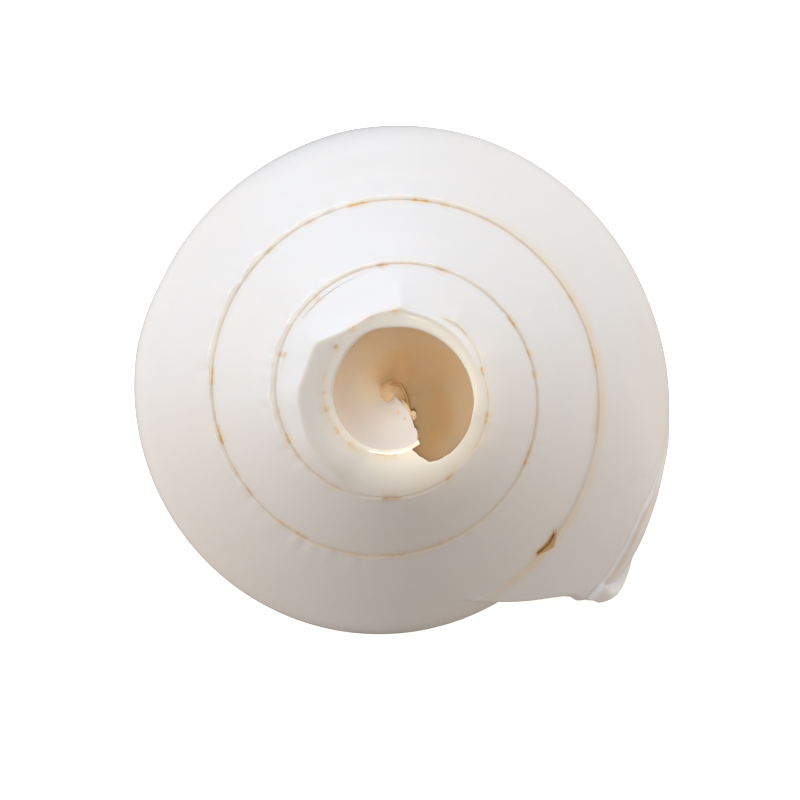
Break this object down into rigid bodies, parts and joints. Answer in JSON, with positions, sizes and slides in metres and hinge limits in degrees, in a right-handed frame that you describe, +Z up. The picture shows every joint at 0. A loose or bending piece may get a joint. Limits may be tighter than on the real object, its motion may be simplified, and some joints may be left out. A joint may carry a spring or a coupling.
{
  "type": "conch shell",
  "caption": "Heavy white chank conch with a low coiled spire, its tip cut off flat as a blow hole, a long open mouth with folds on the pillar, and a straight canal.",
  "frame": {"origin": "middle of the part's box, on the ground it lies on", "axes": "+Z up, +Y along the shell from the cut spire to the tip of the canal, +X towards the lip as seen from the spire; the shell lies mouth down on its belly, the corner of its lip and the tip of its canal"},
  "size_m": [0.0838, 0.127, 0.0748],
  "materials": {
    "shell": "polished porcelain-white shell, tan inside the blow hole and in the seams"
  },
  "bodies": {
    "root": {"shell": "shell"}
  },
  "joints": []
}
